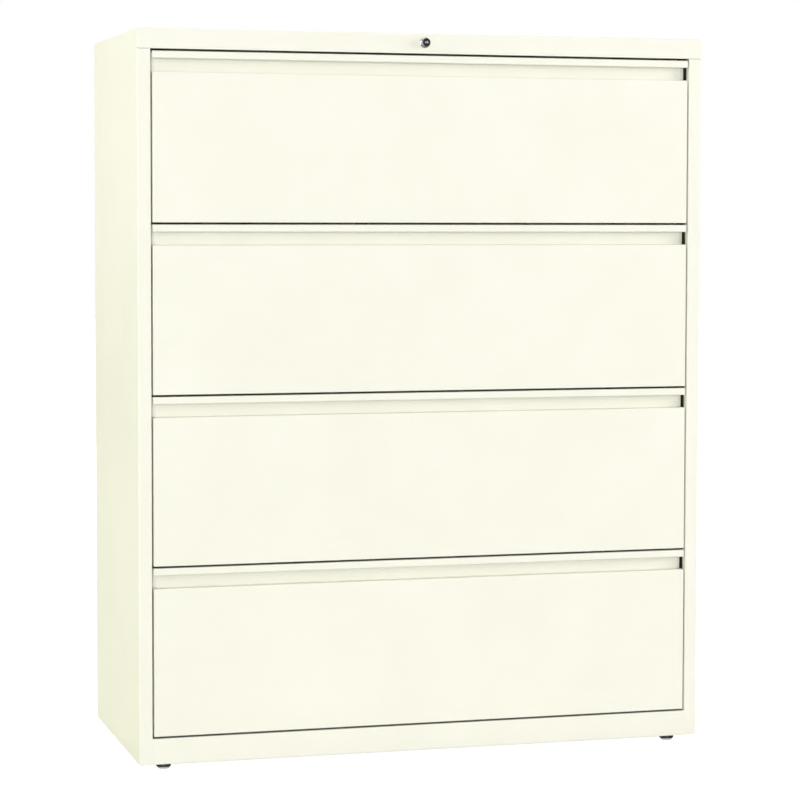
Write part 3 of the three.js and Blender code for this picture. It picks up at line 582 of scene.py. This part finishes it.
for number in (1, 2, 3, 4):
    for hand in ("left", "right"):
        for member in ("outer", "middle", "inner"):
            dress(f"drawer_{number}_slide_{member}_{hand}", zinc_plate, SLIDE_EDGE)
    rivets = []
    for hand, sign in (("left", -1), ("right", 1)):
        slide_low, slide_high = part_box(f"drawer_{number}_slide_inner_{hand}")
        web = min(abs(slide_low.x), abs(slide_high.x)) + SLIDE_SHEET
        level, length = (slide_low.z + slide_high.z) / 2, slide_high.y - slide_low.y
        for share in RIVET_SHARES:
            place = (sign * web, slide_low.y + share * length, level)
            rivets.append(turned("rivet", RIVET_HEAD, place, (sign, 0, 0), 24))
    mesh = gathered(f"drawer_{number}_slide_rivets", rivets)
    heads = new_piece(f"drawer_{number}_slide_rivets", mesh, zinc_plate, f"drawer_{number}")
    smooth_edges(heads, HEAD_EDGE, 1)

# Drawer trays
# One coated sheet makes the bottom, front and back with their hanging rails, and welded sides close the ends.
# A catch on the back takes the lock bar's hook, and screws through the front hold the drawer's face.
LEDGE, HANG_LIP, SIDE_DROP = 12 * MM, 8 * MM, 12 * MM
SIDE_FLANGE, FLANGE_MITRE, TRAY_FOLD = 9 * MM, 3 * MM, 1.4 * MM
CATCH_WIDTH, CATCH_LIP, CATCH_TAB, CATCH_REACH = 24 * MM, 9 * MM, 10 * MM, 9.7 * MM
CATCH_SHEET, CATCH_FOLD = 1.5 * MM, 1.2 * MM
SCREW_SHARES, SCREW_RISES = (-0.9, -0.3, 0.3, 0.9), (0.25, 0.7)
SCREW_HEAD = in_metres([(0, 0.7), (1.2, 0.7), (1.5, 1.9), (2.2, 2.2), (3.5, 1.7), (4.1, 0.8), (4.3, 0),
                        (4.3, -0.05), (0, -0.05)])

for number, base in enumerate(drawer_bases, 1):
    tray_low, tray_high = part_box(f"drawer_{number}_tray")
    x0, x1 = tray_low.x, tray_high.x
    y0, y1 = tray_low.y, tray_high.y - CATCH_REACH
    z0, rail_top = tray_low.z, tray_high.z
    ledge_top = rail_top - HANG_LIP
    side_top = ledge_top - SIDE_DROP
    panels = [[(x0, y0, z0), (x1, y0, z0), (x1, y1, z0), (x0, y1, z0)]]
    for wall, inward in ((y0, 1), (y1, -1)):
        lip = wall + inward * (LEDGE - SHEET)
        panels.append([(x0, wall, z0), (x1, wall, z0), (x1, wall, side_top), (x1, wall, ledge_top),
                       (x0, wall, ledge_top), (x0, wall, side_top)])
        panels.append([(x0, wall, ledge_top), (x1, wall, ledge_top),
                       (x1, lip, ledge_top), (x0, lip, ledge_top)])
        panels.append([(x0, lip, ledge_top), (x1, lip, ledge_top),
                       (x1, lip, rail_top), (x0, lip, rail_top)])
    for wall, inward in ((x0, 1), (x1, -1)):
        edge = wall + inward * SIDE_FLANGE
        panels.append([(wall, y0, z0), (wall, y1, z0), (wall, y1, side_top), (wall, y0, side_top)])
        panels.append([(wall, y0, side_top), (wall, y1, side_top),
                       (edge, y1 - FLANGE_MITRE, side_top), (edge, y0 + FLANGE_MITRE, side_top)])
    mesh = folded_sheet(f"drawer_{number}_tray_sheet", panels, (0, 0, -1), fold=TRAY_FOLD)
    tray = new_piece(f"drawer_{number}_tray_sheet", mesh, inner_powder_coat, f"drawer_{number}",
                     [f"drawer_{number}_tray"])
    smooth_edges(thicken(tray), CUT_EDGE)
    places = [(share * x1, y0 + SHEET, z0 + rise * (rail_top - z0))
              for share in SCREW_SHARES for rise in SCREW_RISES]
    screws = [turned("screw", SCREW_HEAD, place, (0, 1, 0), 24) for place in places]
    mesh = gathered(f"drawer_{number}_front_screws", screws)
    heads = new_piece(f"drawer_{number}_front_screws", mesh, zinc_plate, f"drawer_{number}")
    smooth_edges(heads, HEAD_EDGE, 1)
    level, end, root = base + CATCH_LEVEL + CATCH_SHEET, tray_high.y, y1 + SHEET / 2
    left, right = loop_x - CATCH_WIDTH / 2, loop_x + CATCH_WIDTH / 2
    outline = [(root, level + CATCH_TAB), (root, level), (end, level),
               (end, base + CATCH_LEVEL - CATCH_LIP)]
    panels = [[(left, ya, za), (right, ya, za), (right, yb, zb), (left, yb, zb)]
              for (ya, za), (yb, zb) in zip(outline, outline[1:])]
    mesh = folded_sheet(f"drawer_{number}_catch", panels, (0, 1, 0), fold=CATCH_FOLD)
    catch = new_piece(f"drawer_{number}_catch", mesh, inner_powder_coat, f"drawer_{number}")
    smooth_edges(thicken(catch, CATCH_SHEET), CUT_EDGE)

# Hang bars
# Flat zinc-plated steel bars, set on edge from front to back, that carry hanging folders.
# Each is notched over the lips of the tray's rails and slides along them.
for number in (1, 2, 3, 4):
    for hand in ("left", "right"):
        dress(f"drawer_{number}_hang_bar_{hand}", zinc_plate)

# Drawer fronts
# Each front is one folded sheet of coated steel, screwed to its tray. The face turns back into a ledge, up
# into the rear wall of a full-width pull, forward over its top and down into a hemmed lip. Returns stiffen
# the sides and the bottom, and the pull's rear wall slopes back a little at its two ends.
LIP_HEIGHT, LIP_HEM, FRONT_FOLD = 13.3 * MM, 6 * MM, 1.3 * MM
PULL_OPENING, PULL_DEPTH, PULL_END_FLANGE = 23.6 * MM, 17 * MM, 8 * MM
PULL_END_INSET, PULL_END_WIDTH, PULL_END_SLOPE = 0.3 * MM, 9 * MM, math.radians(22)
SIDE_RETURN, BOTTOM_RETURN = 15 * MM, 32 * MM

for number in (1, 2, 3, 4):
    low_corner, high_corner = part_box(f"drawer_{number}_front")
    x0, x1 = low_corner.x, high_corner.x
    z0, z1 = low_corner.z, high_corner.z
    face_top = z1 - LIP_HEIGHT - PULL_OPENING
    wall, side_end, bottom_end = front + PULL_DEPTH, front + SIDE_RETURN, front + BOTTOM_RETURN
    under, behind, hem_top = z1 - SHEET, front + SHEET, z1 - LIP_HEIGHT + SHEET
    first = PULL_END_WIDTH / 4
    first_back = first * math.tan(PULL_END_SLOPE / 2)
    last_back = first_back + (PULL_END_WIDTH - first) * math.tan(PULL_END_SLOPE)
    start = PULL_END_INSET + PULL_END_WIDTH
    bend = [(start, 0), (start - first, first_back), (PULL_END_INSET, last_back),
            (PULL_END_INSET, PULL_END_FLANGE)]
    left_bend = [(x0 + aside, wall + back) for aside, back in bend]
    right_bend = [(x1 - aside, wall + back) for aside, back in bend]
    inner0, inner1 = left_bend[0][0], right_bend[0][0]
    panels = [
        [(x0, front, z0), (x1, front, z0), (x1, front, face_top), (x0, front, face_top)],
        [(x0, front, face_top), (x1, front, face_top), (x1, side_end, face_top), (x1, wall, face_top),
         (inner1, wall, face_top), (inner0, wall, face_top), (x0, wall, face_top), (x0, side_end, face_top)],
        [(inner0, wall, face_top), (inner1, wall, face_top), (inner1, wall, under),
         (inner0, wall, under)],
        [(x0, wall, under), (inner0, wall, under), (inner1, wall, under), (x1, wall, under),
         (x1, behind, under), (x0, behind, under)],
        [(x0, behind, under), (x1, behind, under), (x1, behind, hem_top), (x0, behind, hem_top)],
        [(x0, behind, hem_top), (x1, behind, hem_top), (x1, front + LIP_HEM, hem_top),
         (x0, front + LIP_HEM, hem_top)],
        [(x0, front, z0), (x0, side_end, z0), (x0, bottom_end, z0), (x1, bottom_end, z0),
         (x1, side_end, z0), (x1, front, z0)],
    ]
    bottom_return = len(panels) - 1
    for x, ends in ((x0, left_bend), (x1, right_bend)):
        panels.append([(x, front, z0), (x, front, face_top), (x, side_end, face_top), (x, side_end, z0)])
        for (xa, ya), (xb, yb) in zip(ends, ends[1:]):
            panels.append([(xa, ya, face_top), (xa, ya, under), (xb, yb, under), (xb, yb, face_top)])
    # The bottom return takes the painted gap shade as its second finish.
    mesh = folded_sheet(f"drawer_{number}_front_sheet", panels, (0, -1, 0), FRONT_FOLD, [bottom_return])
    sheet = new_piece(f"drawer_{number}_front_sheet", mesh, cream_powder_coat, f"drawer_{number}",
                      [f"drawer_{number}_front"])
    mesh.materials.append(painted_gap_shade)
    smooth_edges(thicken(sheet), CUT_EDGE)

# Studio
# A white paper floor that runs out of sight, and an even white surround. Two large soft lights stand in front,
# the stronger one near the camera, and weaker ones fill the left side, the right side, the rear and the top.
FLOOR_SIZE = 40.0
WHITE = "#FFFFFF"
PAPER_GRAIN, PAPER_DARK, PAPER_LIGHT, PAPER_GLOW = 30 * MM, 0.62, 0.66, 0.95
SURROUND_LIGHT, SURROUND_SHINE, BACKDROP = 0.22, 0.65, 1.0

shape = bmesh.new()
bmesh.ops.create_grid(shape, x_segments=8, y_segments=8, size=FLOOR_SIZE / 2)
floor_mesh = bpy.data.meshes.new("floor")
shape.to_mesh(floor_mesh)
shape.free()
floor = bpy.data.objects.new("floor", floor_mesh)
bpy.context.scene.collection.objects.link(floor)
# Studio paper is matt, with a faint cloudy grain, drawn far coarser than real fibres so that it shows.
# Its glow is for the camera alone, so that it looks pure white.
white_floor, tree, output, where = new_material("white_studio_paper")
fibre = add_node(tree, "ShaderNodeTexNoise", {"Vector": where, "Scale": 1 / PAPER_GRAIN, "Detail": 3.0})
tone = add_node(tree, "ShaderNodeMapRange",
                {"Value": fibre.outputs["Fac"], "To Min": PAPER_DARK, "To Max": PAPER_LIGHT})
paper = add_node(tree, "ShaderNodeBsdfPrincipled", {"Base Color": tone.outputs["Result"], "Roughness": 0.9})
glow = add_node(tree, "ShaderNodeEmission", {"Color": linear(WHITE), "Strength": PAPER_GLOW})
glowing = add_node(tree, "ShaderNodeAddShader", {0: paper.outputs["BSDF"], 1: glow.outputs["Emission"]})
seen = add_node(tree, "ShaderNodeLightPath").outputs["Is Camera Ray"]
sheet_of_paper = add_node(tree, "ShaderNodeMixShader",
                          {0: seen, 1: paper.outputs["BSDF"], 2: glowing.outputs["Shader"]})
tree.links.new(sheet_of_paper.outputs["Shader"], output.inputs["Surface"])
floor_mesh.materials.append(white_floor)

world = bpy.data.worlds.new("white_surround")
bpy.context.scene.world = world
world.use_nodes = True
tree = world.node_tree
tree.nodes.clear()
surround, shine, backdrop = [
    add_node(tree, "ShaderNodeBackground", {"Color": linear(WHITE), "Strength": strength}).outputs["Background"]
    for strength in (SURROUND_LIGHT, SURROUND_SHINE, BACKDROP)]
ray = add_node(tree, "ShaderNodeLightPath")
lit = add_node(tree, "ShaderNodeMixShader", {0: ray.outputs["Is Glossy Ray"], 1: surround, 2: shine})
mixed = add_node(tree, "ShaderNodeMixShader",
                 {0: ray.outputs["Is Camera Ray"], 1: lit.outputs["Shader"], 2: backdrop})
add_node(tree, "ShaderNodeOutputWorld", {"Surface": mixed.outputs["Shader"]})


def soft_light(name, place, aim, size, power, colour=WHITE, spread=math.pi):
    """A square area light, in metres and watts, that points at a spot and is not seen itself."""
    light = bpy.data.lights.new(name, "AREA")
    light.shape, light.size, light.spread = "SQUARE", size, spread
    light.energy, light.color = power, linear(colour)[:3]
    lamp = bpy.data.objects.new(name, light)
    bpy.context.scene.collection.objects.link(lamp)
    lamp.location = place
    lamp.rotation_euler = (Vector(aim) - Vector(place)).to_track_quat("-Z", "Y").to_euler()
    lamp.visible_camera = False


soft_light("low_key", (-2.7, -9.4, 1.0), (0.2, 0, 0.6), 2.8, 468)
soft_light("high_key", (0.8, -6.4, 3.1), (0.3, 0, 0.3), 3.0, 34)
soft_light("left_fill", (-4.2, -0.4, 2.7), (-0.5, 0, 0.8), 2.0, 122, "#FEFFF8")
soft_light("warm_card", (-2.0, 0.0, 0.2), (-0.5, 0, 0.0), 0.8, 2.2, "#F8FF50")
soft_light("right_fill", (4.4, -2.4, 2.0), (0.5, 0, 0.7), 2.0, 105)
soft_light("rear_fill", (1.4, 6.0, 2.2), (0, 0.2, 0.7), 2.4, 180)
soft_light("top_fill", (0, 0.2, 2.9), (0, 0.02, 1.3), 1.2, 2.3, spread=math.radians(60))

# Camera
# It stands where the photograph was taken: front left, a little above the middle of the cabinet.
# Its place, angles and focal length are those that put the cabinet's edges where the photograph has them.
CAMERA_PLACE = (-1.3355, -4.7472, 0.9947)
YAW, PITCH, ROLL = math.radians(-15.868), math.radians(-3.205), math.radians(0.113)
FOCAL_PIXELS, PICTURE, SENSOR, LENS_SHIFT = 2582, 800, 36.0, -0.05

camera_data = bpy.data.cameras.new("camera")
camera_data.sensor_width = SENSOR
camera_data.lens = FOCAL_PIXELS * SENSOR / PICTURE
camera_data.shift_y = LENS_SHIFT
camera = bpy.data.objects.new("camera", camera_data)
bpy.context.scene.collection.objects.link(camera)
sideways = Vector((math.cos(YAW), math.sin(YAW), 0))
ahead = Vector((-math.sin(YAW) * math.cos(PITCH), math.cos(YAW) * math.cos(PITCH), math.sin(PITCH)))
across = math.cos(ROLL) * sideways + math.sin(ROLL) * sideways.cross(ahead)
upward = across.cross(ahead)
turn = Matrix((across, upward, -ahead)).transposed()
camera.matrix_world = Matrix.Translation(CAMERA_PLACE) @ turn.to_4x4()
bpy.context.scene.camera = camera
bpy.context.scene.view_settings.view_transform = "Standard"
